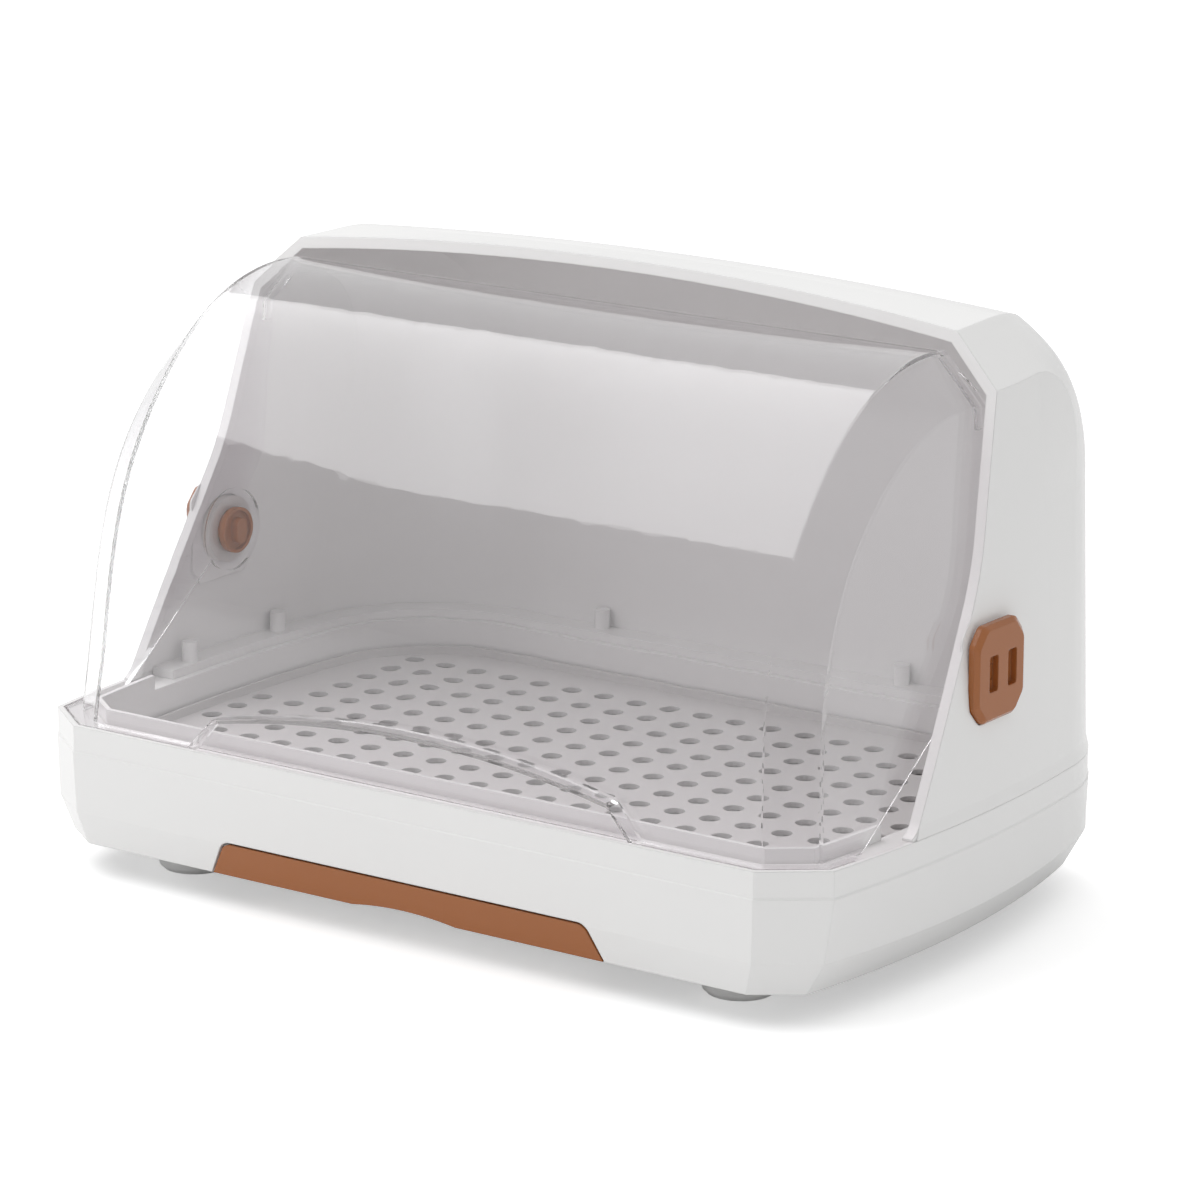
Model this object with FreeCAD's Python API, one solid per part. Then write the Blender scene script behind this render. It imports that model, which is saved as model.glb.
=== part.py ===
import FreeCAD, Part
import collections
import math
import os

# Covered cup drying rack: a base tub with a drip drawer, a hood behind and a clear visor.
# X runs to the right, Y to the back and Z up. All sizes are in millimetres.
# The pieces are built with Z = 0 at the rim of the base, and moved up to stand on Z = 0.

Vector = FreeCAD.Vector
os.makedirs("parts", exist_ok=True)

# Overall sizes of the base
HALF_WIDTH = 233.9
HALF_DEPTH = 149.0
WALL_BOTTOM = -43.0
BASE_BOTTOM = -59.0
FOOT_HEIGHT = 16.0
WALL = 2.5
BEYOND = 2.0 * HALF_WIDTH

# The base seen from above, at the rim: the radius of its bowed sides and where they are widest,
# the rear corner radius, and the cut of the front corners
RIM_BOW = 760.0
RIM_BOW_Y = -17.0
RIM_CORNER = 84.5
RIM_CUT_INSET = 36.9
RIM_CUT_WIDTH = 29.2
RIM_CUT_DEPTH = 21.9

# The same at the crease above the bevel
CREASE_SIDE_INSET = 0.2
CREASE_FRONT_INSET = 0.6
CREASE_REAR_INSET = 0.2
CREASE_BOW = 490.0
CREASE_BOW_Y = -26.0
CREASE_CORNER = 62.0
CREASE_CUT_INSET = 37.9
CREASE_CUT_DEPTH = 20.3

# The same at the bottom of the bevel
BOTTOM_SIDE_INSET = 11.0
BOTTOM_FRONT_INSET = 3.5
BOTTOM_REAR_INSET = 4.0
BOTTOM_BOW = 560.0
BOTTOM_BOW_Y = -27.0
BOTTOM_CORNER = 62.0
BOTTOM_CUT_INSET = 42.5
BOTTOM_CUT_DEPTH = 20.3

# Upright band below the rim, slightly set back from the wall under it
BAND_HEIGHT = 13.2
BAND_STEP = 0.5
BAND_SLOPE = 0.7

# Rim, ledge, inner tub and upstand of the base
RIM_WIDTH = 3.2
LEDGE_DROP = 2.5
TUB_INSET = 18.5
TUB_FLOOR_TOP = -38.0
UPSTAND_HEIGHT = 5.0
BOSS_RADIUS = 4.0
SCREW_CORE = 1.5
DRAIN_SLOT = (6.0, 40.0)

# Hinge axis
HINGE_Y = 0.0
HINGE_Z = 64.0

# Visor. Each station gives an angle above the front horizontal, then how far the front edge lies
# outside the visor's reach and inside its hubs, and the same for the cheek edge
VISOR_SETBACK = 22.0
VISOR_REACH = HALF_DEPTH + HINGE_Y - VISOR_SETBACK
VISOR_STATIONS = [
    (-36.0, 42.0, 23.0, 22.0, 2.0),
    (-27.0, 27.5, 25.5, 8.2, 4.7),
    (-20.0, 17.3, 27.0, -0.5, 6.1),
    (-12.0, 8.9, 28.5, -7.4, 7.3),
    (-3.0, 3.9, 29.5, -12.1, 8.3),
    (7.0, 1.1, 30.2, -14.8, 8.9),
    (20.0, 0.0, 30.5, -16.1, 9.2),
    (35.0, 0.5, 30.5, -15.7, 9.4),
    (50.0, 3.3, 30.7, -14.4, 9.5),
    (65.0, 8.6, 30.9, -11.9, 9.6),
    (80.0, 12.6, 31.3, -9.8, 10.0),
    (97.0, 14.3, 31.9, -8.6, 10.5),
    (120.0, 14.3, 31.9, -8.6, 10.5),
]
VISOR_WALL = 2.3
VISOR_HUB_RADIUS = 14.0
VISOR_EAR_RADIUS = 26.0
VISOR_BOSS_RADIUS = 21.0
VISOR_TOP_Y = HINGE_Y + 19.0
VISOR_BEAD = 4.0
VISOR_BEAD_LENGTH = 5.0
VISOR_SEAT_GAP = 0.2
VISOR_FILLET = 1.6
CHEEK_FOOT_Y = HINGE_Y - 58.0
CHEEK_REAR_TOP = (HINGE_Y + 22.0, HINGE_Z + VISOR_REACH - 5.0)
CHEEK_REAR_MID = (HINGE_Y + 21.0, HINGE_Z + 16.0)
FLANGE_INSET = 4.4
FLANGE_LENGTH = 46.5
ARCH_FOOT_X = 128.0
ARCH_KNEE = (115.0, 13.5)
ARCH_TOP = 28.0

# Hood: the roof lies over the visor, whose top turns under it
HOOD_INSET = 1.2
HOOD_LEAN = 0.0814
HOOD_WALL = 2.5
FRAME_WIDTH = 5.5
FRAME_DEPTH = 5.5
HOOD_CORNER_AT_RIM = 84.5
HOOD_CORNER_TAPER = 0.165
ROOF_OVER_VISOR = 21.5
ROOF_Z = HINGE_Z + VISOR_REACH + ROOF_OVER_VISOR
ROOF_FRONT_Y = HINGE_Y + 23.7
ROOF_FRONT = (HALF_WIDTH - 43.2, ROOF_Z, ROOF_Z + 11.0)
ROOF_REAR_Y = HALF_DEPTH - 91.0
ROOF_REAR = (HALF_WIDTH - 45.5, ROOF_Z + 0.4, ROOF_Z + 7.2)
ROOF_CHAMFER_SLOPE = 0.927
MOUTH_FOOT_Y = HINGE_Y - 69.0
MOUTH_LOWER_SLOPE = 0.585
MOUTH_UPPER_SLOPE = 0.278
MOUTH_BEND_RADIUS = 120.0
MOUTH_TOE_RADIUS = 14.0
MOUTH_TOE_HEIGHT = 1.2
SEAT_INNER = 17.0
SEAT_TOP = 2.0
SEAT_FRONT_Y = MOUTH_FOOT_Y + 19.0
SKIRT_HEIGHT = 6.0
SKIRT_INSET = 0.3
SKIRT_SINK = 2.0
SKIRT_ROOT_GAP = 0.6
UPSTAND_END_Y = MOUTH_FOOT_Y - 1.3

# Hinge pieces, stacked along the axis from the hood's inner face inward and outward
CAP_STAND_OFF = 0.3
CAP_THICKNESS = 4.9
CAP_HALF_Y = 21.0
CAP_HALF_Z = 23.0
CAP_CUT_Y = 7.0
CAP_CUT_Z = 8.0
CAP_CORNER_RADIUS = 5.0
CAP_BEVEL = 2.0
CAP_SLOT_WIDTH = 7.5
CAP_SLOT_HEIGHT = 17.0
CAP_SLOT_DEPTH = 3.2
CAP_SLOT_OFFSET = 8.0
CAP_SLOT_SHIFT = 1.2
PIN_RADIUS = 10.0
PIN_RUNNING_GAP = 0.1
PIN_HEAD_RADIUS = 11.5
PIN_HEAD_THICKNESS = 3.0
PIN_GRIP = 2.5
PIN_SIDE_GAP = 0.3
TONGUE_OFFSET = 6.3
TONGUE_HALF_Y = 1.7
TONGUE_HALF_Z = 3.5
TONGUE_GAP = 0.15
WASHER_RADIUS = 17.0
WASHER_THICKNESS = 5.0
WASHER_HUB_GAP = 0.2
WASHER_PAD_GAP = 0.1

# Rack plate
RACK_TOP = -20.0
RACK_THICKNESS = 2.5
RACK_GAP = 1.5
RACK_RIM = 4.0
RACK_RIM_WIDTH = 2.0
RACK_HOLE_RADIUS = 5.0
RACK_HOLE_PITCH = 20.0
RACK_HOLE_EDGE = 9.0
RACK_POST_COLUMNS = (-7.5, -2.5, 2.5, 7.5)
RACK_POST_ROWS = (-4.5, 0.0, 4.5)

# Drip drawer
DRAWER_TOP_HALF = 104.5
DRAWER_BOTTOM_HALF = 113.5
DRAWER_PANEL_TOP = -42.6
DRAWER_PANEL_THICKNESS = 3.0
DRAWER_CORNER_RADIUS = 6.0
DRAWER_GAP = 1.0
SCOOP_HALF = 30.0
SCOOP_HEIGHT = 2.5
TRAY_HALF = 97.0
TRAY_FRONT_Y = -HALF_DEPTH + 10.5
TRAY_REAR_Y = HALF_DEPTH - 45.0
TRAY_BOTTOM = BASE_BOTTOM + 1.5
TRAY_TOP = -43.6
TRAY_WALL = 2.0
TRAY_LIP = 5.0
RAIL_GAP = 1.0
RAIL_LEDGE_GAP = 0.4
RAIL_THICKNESS = 2.0
RAIL_LEDGE_TOP = TRAY_TOP - TRAY_WALL - RAIL_LEDGE_GAP
RAIL_FRONT_Y = -HALF_DEPTH + 21.0
RAIL_REAR_Y = HALF_DEPTH - 37.0
RAIL_WEB_X = TRAY_HALF + TRAY_LIP + RAIL_GAP
RAIL_SCREW_X = RAIL_WEB_X + RAIL_THICKNESS + 6.5
RAIL_SCREW_Y = (RAIL_FRONT_Y + 18.0, (RAIL_FRONT_Y + RAIL_REAR_Y) / 2.0, RAIL_REAR_Y - 17.0)

# Feet and screws
FOOT_X = HALF_WIDTH - 73.9
FOOT_Y = HALF_DEPTH - 46.0
FOOT_TOP_RADIUS = 20.0
FOOT_BOTTOM_RADIUS = 17.5
POST_RADIUS = 17.0
POST_BORE = 14.0
HOOD_SCREW_INSET = 12.0
HOOD_SCREWS = [
    (HALF_WIDTH - HOOD_SCREW_INSET, HINGE_Y - 30.0),
    (HALF_WIDTH - HOOD_SCREW_INSET, HINGE_Y + 40.0),
    (90.0, HALF_DEPTH - 8.5),
]


# Small helpers for outlines and solids
def box(x0, x1, y0, y1, z0, z1):
    return Part.makeBox(x1 - x0, y1 - y0, z1 - z0, Vector(x0, y0, z0))


def cylinder(radius, x, y, z0, z1):
    return Part.makeCylinder(radius, z1 - z0, Vector(x, y, z0), Vector(0, 0, 1))


def cross_cylinder(radius, x0, x1, y, z):
    return Part.makeCylinder(radius, x1 - x0, Vector(x0, y, z), Vector(1, 0, 0))


def unit(dx, dy):
    length = math.hypot(dx, dy)
    return dx / length, dy / length


def corner_arc(before, corner, after, radius):
    """Start, middle and end of the arc that rounds a corner of a flat outline."""
    ax, ay = unit(before[0] - corner[0], before[1] - corner[1])
    bx, by = unit(after[0] - corner[0], after[1] - corner[1])
    half = math.acos(max(-1.0, min(1.0, ax * bx + ay * by))) / 2.0
    reach = radius / math.tan(half)
    mx, my = unit(ax + bx, ay + by)
    centre = radius / math.sin(half)
    start = (corner[0] + ax * reach, corner[1] + ay * reach)
    middle = (corner[0] + mx * (centre - radius), corner[1] + my * (centre - radius))
    end = (corner[0] + bx * reach, corner[1] + by * reach)
    return start, middle, end


def rounded_face(corners, place):
    """Flat face with corners (a, b, radius), placed in space by the function place."""
    count = len(corners)
    edges = []
    ends = []
    for index, (a, b, radius) in enumerate(corners):
        before = corners[index - 1]
        after = corners[(index + 1) % count]
        if radius > 0:
            start, middle, end = corner_arc(before[:2], (a, b), after[:2], radius)
            ends.append((start, end))
            edges.append(Part.Arc(place(*start), place(*middle), place(*end)).toShape())
        else:
            ends.append(((a, b), (a, b)))
            edges.append(None)
    wire = []
    for index in range(count):
        if edges[index] is not None:
            wire.append(edges[index])
        start = place(*ends[index][1])
        end = place(*ends[(index + 1) % count][0])
        if start.distanceToPoint(end) > 1e-6:
            wire.append(Part.makeLine(start, end))
    return Part.Face(Part.Wire(wire))


def side_prism(corners, x0, x1):
    """Prism along X from an outline given as (y, z, radius)."""
    face = rounded_face(corners, lambda y, z: Vector(x0, y, z))
    return face.extrude(Vector(x1 - x0, 0, 0))


def front_prism(corners, y0, y1):
    """Prism along Y from an outline given as (x, z, radius)."""
    face = rounded_face(corners, lambda x, z: Vector(x, y0, z))
    return face.extrude(Vector(0, y1 - y0, 0))


def mirrored(shape):
    return shape.mirror(Vector(0, 0, 0), Vector(1, 0, 0))


def both_sides(shape):
    return [shape, mirrored(shape)]


# The base seen from above, moved inward by an inset
Outline = collections.namedtuple(
    "Outline", "half_width front rear bow bow_y corner flat cut_width cut_depth")
RIM = Outline(HALF_WIDTH, -HALF_DEPTH, HALF_DEPTH, RIM_BOW, RIM_BOW_Y, RIM_CORNER,
              HALF_WIDTH - RIM_CUT_INSET, RIM_CUT_WIDTH, RIM_CUT_DEPTH)
CREASE = Outline(HALF_WIDTH - CREASE_SIDE_INSET, -HALF_DEPTH + CREASE_FRONT_INSET,
                 HALF_DEPTH - CREASE_REAR_INSET, CREASE_BOW, CREASE_BOW_Y, CREASE_CORNER,
                 HALF_WIDTH - CREASE_CUT_INSET, RIM_CUT_WIDTH, CREASE_CUT_DEPTH)
BOTTOM = Outline(HALF_WIDTH - BOTTOM_SIDE_INSET, -HALF_DEPTH + BOTTOM_FRONT_INSET,
                 HALF_DEPTH - BOTTOM_REAR_INSET, BOTTOM_BOW, BOTTOM_BOW_Y, BOTTOM_CORNER,
                 HALF_WIDTH - BOTTOM_CUT_INSET, RIM_CUT_WIDTH, BOTTOM_CUT_DEPTH)


def side_tangent(centre, bow, corner, back, inset):
    """Centre of the rear corner and the point where the bowed side meets it."""
    rise = back - corner - centre[1]
    run = math.sqrt((bow - corner) ** 2 - rise ** 2)
    scale = (bow - inset) / (bow - corner)
    tangent = (centre[0] + run * scale, centre[1] + rise * scale)
    return (centre[0] + run, centre[1] + rise), tangent


def corner_middle(centre, start, radius):
    first = math.atan2(start[1] - centre[1], start[0] - centre[0])
    angle = (first + math.pi / 2.0) / 2.0
    return centre[0] + radius * math.cos(angle), centre[1] + radius * math.sin(angle)


def base_wire(outline, inset, z):
    centre = (outline.half_width - outline.bow, outline.bow_y)
    bow = outline.bow - inset
    corner, tangent = side_tangent(centre, outline.bow, outline.corner, outline.rear, inset)
    middle = corner_middle(corner, tangent, outline.corner - inset)
    nx, ny = unit(outline.cut_depth, -outline.cut_width)
    level = nx * outline.flat + ny * outline.front - inset
    front_y = outline.front + inset
    first = ((level - ny * front_y) / nx, front_y)
    away = level - nx * centre[0] - ny * centre[1]
    chord = math.sqrt(bow ** 2 - away ** 2)
    second = (centre[0] + nx * away - ny * chord, centre[1] + ny * away + nx * chord)

    def point(pair, sign):
        return Vector(pair[0] * sign, pair[1], z)

    back = (corner[0], outline.rear - inset)
    widest = (centre[0] + bow, centre[1])
    edges = [Part.makeLine(point(first, -1), point(first, 1))]
    for sign in (1, -1):
        side = [
            Part.makeLine(point(first, sign), point(second, sign)),
            Part.Arc(point(second, sign), point(widest, sign), point(tangent, sign)).toShape(),
            Part.Arc(point(tangent, sign), point(middle, sign), point(back, sign)).toShape(),
        ]
        edges.extend(side)
    edges.append(Part.makeLine(point(back, 1), point(back, -1)))
    return Part.Wire(Part.__sortEdges__(edges))


def base_prism(inset, z0, z1):
    return Part.Face(base_wire(RIM, inset, z0)).extrude(Vector(0, 0, z1 - z0))


def base_ring(outer_inset, inner_inset, z0, z1):
    return base_prism(outer_inset, z0, z1).cut(base_prism(inner_inset, z0 - 1, z1 + 1))


def base_body(inset):
    """The whole outer form of the base moved inward: band, wall and bevel."""
    levels = [
        (BOTTOM, 0.0, BASE_BOTTOM),
        (CREASE, 0.0, WALL_BOTTOM),
        (RIM, 0.0, -BAND_HEIGHT),
        (RIM, BAND_STEP, -BAND_HEIGHT + BAND_SLOPE),
        (RIM, BAND_STEP, 0.0),
    ]
    wires = [base_wire(outline, extra + inset, z) for outline, extra, z in levels]
    return Part.makeLoft(wires, True, True)


def slab(y0, y1, z0, z1):
    """Box as wide as everything, between two places in Y and Z."""
    return box(-BEYOND, BEYOND, y0, y1, z0, z1)


def drawer_outline(grow):
    """Front view of the drawer panel, grown for the opening in the base."""
    top = DRAWER_PANEL_TOP + grow
    slope = (DRAWER_BOTTOM_HALF - DRAWER_TOP_HALF) / (DRAWER_PANEL_TOP - BASE_BOTTOM)
    low = BASE_BOTTOM - (1.0 if grow > 0 else 0.0)
    low_half = DRAWER_BOTTOM_HALF + grow + slope * (BASE_BOTTOM - low)
    return [
        (-low_half, low, 0),
        (low_half, low, 0),
        (DRAWER_TOP_HALF + grow, top, DRAWER_CORNER_RADIUS + grow),
        (-DRAWER_TOP_HALF - grow, top, DRAWER_CORNER_RADIUS + grow),
    ]


# Base tub: skirt, ledge, inner tub, floor, posts and bosses in one moulding
def foot_places():
    return [(x, y) for x in (-FOOT_X, FOOT_X) for y in (-FOOT_Y, FOOT_Y)]


def rail_screw_places():
    return [(x, y) for x in (-RAIL_SCREW_X, RAIL_SCREW_X) for y in RAIL_SCREW_Y]


def hood_screw_places():
    return [(x * sign, y) for x, y in HOOD_SCREWS for sign in (-1, 1)]


def rack_post_places():
    return [(column * RACK_HOLE_PITCH, row * RACK_HOLE_PITCH)
            for column in RACK_POST_COLUMNS for row in RACK_POST_ROWS]


def make_base_tub():
    ledge_bottom = -2 * LEDGE_DROP
    floor_bottom = TUB_FLOOR_TOP - WALL
    body = base_body(0)
    body = body.cut(base_body(WALL).common(slab(-BEYOND, BEYOND, BASE_BOTTOM, ledge_bottom)))
    body = body.cut(base_prism(RIM_WIDTH, -LEDGE_DROP, 1))
    body = body.cut(base_prism(TUB_INSET, ledge_bottom - 1, 0))
    tub_wall = base_ring(TUB_INSET, TUB_INSET + WALL, floor_bottom, -LEDGE_DROP)
    floor = base_prism(TUB_INSET, floor_bottom, TUB_FLOOR_TOP)
    upstand = base_ring(TUB_INSET, TUB_INSET + WALL, ledge_bottom, UPSTAND_HEIGHT)
    upstand = upstand.common(slab(-BEYOND, UPSTAND_END_Y, ledge_bottom, UPSTAND_HEIGHT))
    pieces = [tub_wall, floor, upstand]
    for x, y in foot_places():
        tube = cylinder(POST_RADIUS, x, y, BASE_BOTTOM, floor_bottom)
        pieces.append(tube.cut(cylinder(POST_BORE, x, y, BASE_BOTTOM - 1, floor_bottom)))
        pieces.append(cylinder(BOSS_RADIUS, x, y, BASE_BOTTOM + 5, floor_bottom))
    for x, y in rack_post_places():
        pieces.append(cylinder(BOSS_RADIUS, x, y, TUB_FLOOR_TOP, RACK_TOP - RACK_THICKNESS))
    for x, y in rail_screw_places():
        pieces.append(cylinder(BOSS_RADIUS, x, y, TUB_FLOOR_TOP, TUB_FLOOR_TOP + 5))
    body = body.fuse(pieces)
    cuts = [front_prism(drawer_outline(DRAWER_GAP), -HALF_DEPTH - 2, -HALF_DEPTH + 12)]
    for x, y in foot_places():
        cuts.append(cylinder(SCREW_CORE, x, y, BASE_BOTTOM, floor_bottom - 1))
    for x, y in rail_screw_places():
        cuts.append(cylinder(SCREW_CORE, x, y, floor_bottom - 1, TUB_FLOOR_TOP + 4))
    for x, y in hood_screw_places():
        cuts.append(cylinder(SCREW_CORE + 0.4, x, y, ledge_bottom - 1, 0))
    half_x, half_y = DRAIN_SLOT[0] / 2.0, DRAIN_SLOT[1] / 2.0
    for column in (-3, -1, 1, 3):
        for row in (-3, 2):
            x = column * RACK_HOLE_PITCH
            y = row * RACK_HOLE_PITCH
            cuts.append(box(x - half_x, x + half_x, y - half_y, y + half_y,
                            floor_bottom - 1, TUB_FLOOR_TOP + 1))
    return body.cut(Part.makeCompound(cuts)).removeSplitter()


# Hood: shapes between the mouth and the rear, in three joined stretches
def hood_half(y, z):
    return HALF_WIDTH - HOOD_INSET - HOOD_LEAN * z - (y - RIM_BOW_Y) ** 2 / (2.0 * RIM_BOW)


CAP_BACK_X = hood_half(HINGE_Y, HINGE_Z) + CAP_STAND_OFF
CAP_FACE_X = CAP_BACK_X + CAP_THICKNESS
PAD_INNER_X = hood_half(HINGE_Y, HINGE_Z) - HOOD_WALL
VISOR_HUB_HALF = PAD_INNER_X - WASHER_PAD_GAP - WASHER_THICKNESS - WASHER_HUB_GAP


def roof_at(y):
    share = (y - ROOF_FRONT_Y) / (ROOF_REAR_Y - ROOF_FRONT_Y)
    return [a + (b - a) * share for a, b in zip(ROOF_FRONT, ROOF_REAR)]


def roof_corners(y, inset):
    """Side corner, roof corner and crown of the hood's cross section."""
    roof_x, roof_z, crown_z = roof_at(y)
    nx, nz = unit(ROOF_CHAMFER_SLOPE, 1.0)
    level = nx * roof_x + nz * roof_z - inset
    top_z = roof_z - inset
    top_x = (level - nz * top_z) / nx
    side_x0 = hood_half(y, 0) - inset
    side_z = (level - nx * side_x0) / (nz - nx * HOOD_LEAN)
    side_x = side_x0 - HOOD_LEAN * side_z
    return (side_x, side_z), (top_x, top_z), (0.0, crown_z - inset)


def arch_wire(points, bulge, place):
    """Closed wire through half points mirrored about the middle, with a crowned top."""
    start, side, top, crown = points
    edges = []

    def chamfer_edge(sign):
        first = place(side[0] * sign, side[1])
        last = place(top[0] * sign, top[1])
        if bulge is None:
            return Part.makeLine(first, last)
        return Part.Arc(first, place(bulge[0] * sign, bulge[1]), last).toShape()

    edges.append(Part.makeLine(place(start[0], start[1]), place(side[0], side[1])))
    edges.append(chamfer_edge(1))
    if abs(crown[1] - top[1]) > 1e-3:
        middle = place(0.0, crown[1])
        edges.append(Part.Arc(place(*top), middle, place(-top[0], top[1])).toShape())
    else:
        edges.append(Part.makeLine(place(*top), place(-top[0], top[1])))
    edges.append(chamfer_edge(-1))
    edges.append(Part.makeLine(place(-side[0], side[1]), place(-start[0], start[1])))
    edges.append(Part.makeLine(place(-start[0], start[1]), place(start[0], start[1])))
    return Part.Wire(Part.__sortEdges__(edges))


def hood_front_stretch(inset, low):
    wires = []
    front_y = MOUTH_FOOT_Y - FRAME_DEPTH - MOUTH_TOE_RADIUS
    for step in range(5):
        y = front_y + (ROOF_REAR_Y - front_y) * step / 4.0
        side, top, crown = roof_corners(y, inset)
        start = (hood_half(y, low) - inset, low)
        wires.append(arch_wire([start, side, top, crown], None, lambda x, z, y=y: Vector(x, y, z)))
    return Part.makeLoft(wires, True, False)


def hood_plan(z, inset):
    """Points of the rear plan outline at height z."""
    radius = HOOD_CORNER_AT_RIM - HOOD_CORNER_TAPER * z
    half = HALF_WIDTH - HOOD_INSET - HOOD_LEAN * z
    back = HALF_DEPTH - HOOD_INSET
    bow_centre = (half - RIM_BOW, RIM_BOW_Y)
    centre, tangent = side_tangent(bow_centre, RIM_BOW, radius, back, inset)
    middle = corner_middle(centre, tangent, radius - inset)
    start = (hood_half(ROOF_REAR_Y, z) - inset, ROOF_REAR_Y)
    return start, tangent, middle, (centre[0], back - inset)


REAR_RADIUS = HALF_DEPTH - HOOD_INSET - ROOF_REAR_Y
TURN_Z = ROOF_REAR[2] - REAR_RADIUS
TURN_CORE = 12.0


def hood_turn_stretch(inset):
    """The stretch that turns the roof down into the back wall."""
    side0, top0, crown0 = roof_corners(ROOF_REAR_Y, inset)
    start, side1, middle1, top1 = hood_plan(TURN_Z, inset)
    core_x = (start[0] + (side0[0] - start[0]) * TURN_CORE / (side0[1] - TURN_Z),
              start[0] + (side1[0] - start[0]) * TURN_CORE / (side1[1] - ROOF_REAR_Y))
    wires = []
    for degrees in (0, 15, 30, 45, 60, 75, 90):
        angle = math.radians(degrees)
        share = math.sin(angle) ** 2

        def mix(first, second):
            return first + (second - first) * share

        side = (mix(side0[0], side1[0]), mix(side0[1] - TURN_Z, side1[1] - ROOF_REAR_Y))
        top = (mix(top0[0], top1[0]), mix(top0[1] - TURN_Z, top1[1] - ROOF_REAR_Y))
        reach = mix(crown0[1] - TURN_Z, top1[1] - ROOF_REAR_Y)
        straight = ((side[0] + top[0]) / 2.0, (side[1] + top[1]) / 2.0)
        flat1 = ((side1[0] + top1[0]) / 2.0, (side1[1] + top1[1]) / 2.0 - ROOF_REAR_Y)
        bulge = (straight[0] + share * (middle1[0] - flat1[0]),
                 straight[1] + share * (middle1[1] - ROOF_REAR_Y - flat1[1]))

        def place(x, r, angle=angle):
            return Vector(x, ROOF_REAR_Y + r * math.sin(angle), TURN_Z + r * math.cos(angle))

        low_r = TURN_CORE / (math.cos(angle) + math.sin(angle))
        along = low_r * math.sin(angle) / TURN_CORE
        low_point = (core_x[0] + (core_x[1] - core_x[0]) * along, low_r)
        points = [low_point, side, top, (0.0, reach)]
        wires.append(arch_wire(points, bulge if degrees else None, place))
    turn = Part.makeLoft(wires, True, False)
    ends = []
    for sign in (-1, 1):
        corners = [Vector(sign * start[0], ROOF_REAR_Y, TURN_Z),
                   Vector(sign * core_x[0], ROOF_REAR_Y, TURN_Z + TURN_CORE),
                   Vector(sign * core_x[1], ROOF_REAR_Y + TURN_CORE, TURN_Z)]
        ends.append(Part.makePolygon(corners + [corners[0]]))
    return turn, Part.makeLoft(ends, True, True)


def hood_rear_stretch(inset, low):
    wires = []
    for z in (TURN_Z, low):
        start, side, middle, top = hood_plan(z, inset)
        points = [start, side, top, (0.0, top[1])]
        wires.append(arch_wire(points, middle, lambda x, y, z=z: Vector(x, y, z)))
    return Part.makeLoft(wires, True, True)


def hood_block(inset, low):
    turn, core = hood_turn_stretch(inset)
    return hood_front_stretch(inset, low).fuse([turn, core, hood_rear_stretch(inset, low)])


def mouth_line():
    """Side outline of the mouth: foot, bend and top."""
    bend_z = (ROOF_FRONT_Y - MOUTH_UPPER_SLOPE * ROOF_Z - MOUTH_FOOT_Y) / (
        MOUTH_LOWER_SLOPE - MOUTH_UPPER_SLOPE)
    bend_y = MOUTH_FOOT_Y + MOUTH_LOWER_SLOPE * bend_z
    top_z = ROOF_FRONT[2] + HOOD_WALL
    top_y = ROOF_FRONT_Y + MOUTH_UPPER_SLOPE * (top_z - ROOF_Z)
    return (MOUTH_FOOT_Y, 0.0), (bend_y, bend_z), (top_y, top_z)


def mouth_region():
    """Everything behind the mouth of the hood, and a small toe along the rim."""
    foot, bend, top = mouth_line()
    region = side_prism([
        (foot[0], foot[1], 0),
        (BEYOND, foot[1], 0),
        (BEYOND, top[1], 0),
        (top[0], top[1], 0),
        (bend[0], bend[1], MOUTH_BEND_RADIUS),
    ], -BEYOND, BEYOND)
    start, middle, end = corner_arc(bend, foot, (foot[0] - 50.0, 0.0), MOUTH_TOE_RADIUS)
    reach = math.sqrt(MOUTH_TOE_RADIUS ** 2 - (MOUTH_TOE_RADIUS - MOUTH_TOE_HEIGHT) ** 2)
    toe = side_prism([
        (end[0] + reach, 0.0, 0),
        (foot[0] + 2.0, 0.0, 0),
        (start[0] + 2.0, start[1], 0),
        (start[0], start[1], 0),
        (end[0] + reach, start[1], 0),
    ], -BEYOND, BEYOND)
    round_tool = cross_cylinder(MOUTH_TOE_RADIUS, -BEYOND - 1, BEYOND + 1, end[0],
                                MOUTH_TOE_RADIUS)
    return region, toe.cut(round_tool)


def cap_outline(grow):
    y = CAP_HALF_Y + grow
    z = CAP_HALF_Z + grow
    corners = []
    for sy, sz, first in ((-1, -1, True), (1, -1, False), (1, 1, True), (-1, 1, False)):
        flat = (HINGE_Y + sy * (y - CAP_CUT_Y), HINGE_Z + sz * z, CAP_CORNER_RADIUS)
        upright = (HINGE_Y + sy * y, HINGE_Z + sz * (z - CAP_CUT_Z), CAP_CORNER_RADIUS)
        corners.extend([upright, flat] if first else [flat, upright])
    return corners


def screw(radius, head_radius, x, y, head_z, head_height, tip_z):
    """Pan head screw standing upright, with its head below."""
    body = cylinder(radius, x, y, head_z + head_height, tip_z)
    head = cylinder(head_radius, x, y, head_z, head_z + head_height)
    cross = box(x - 0.5, x + 0.5, y - 2.2, y + 2.2, head_z - 1, head_z + 1.2)
    cross = cross.fuse(box(x - 2.2, x + 2.2, y - 0.5, y + 0.5, head_z - 1, head_z + 1.2))
    return body.fuse(head).cut(cross)


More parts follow.
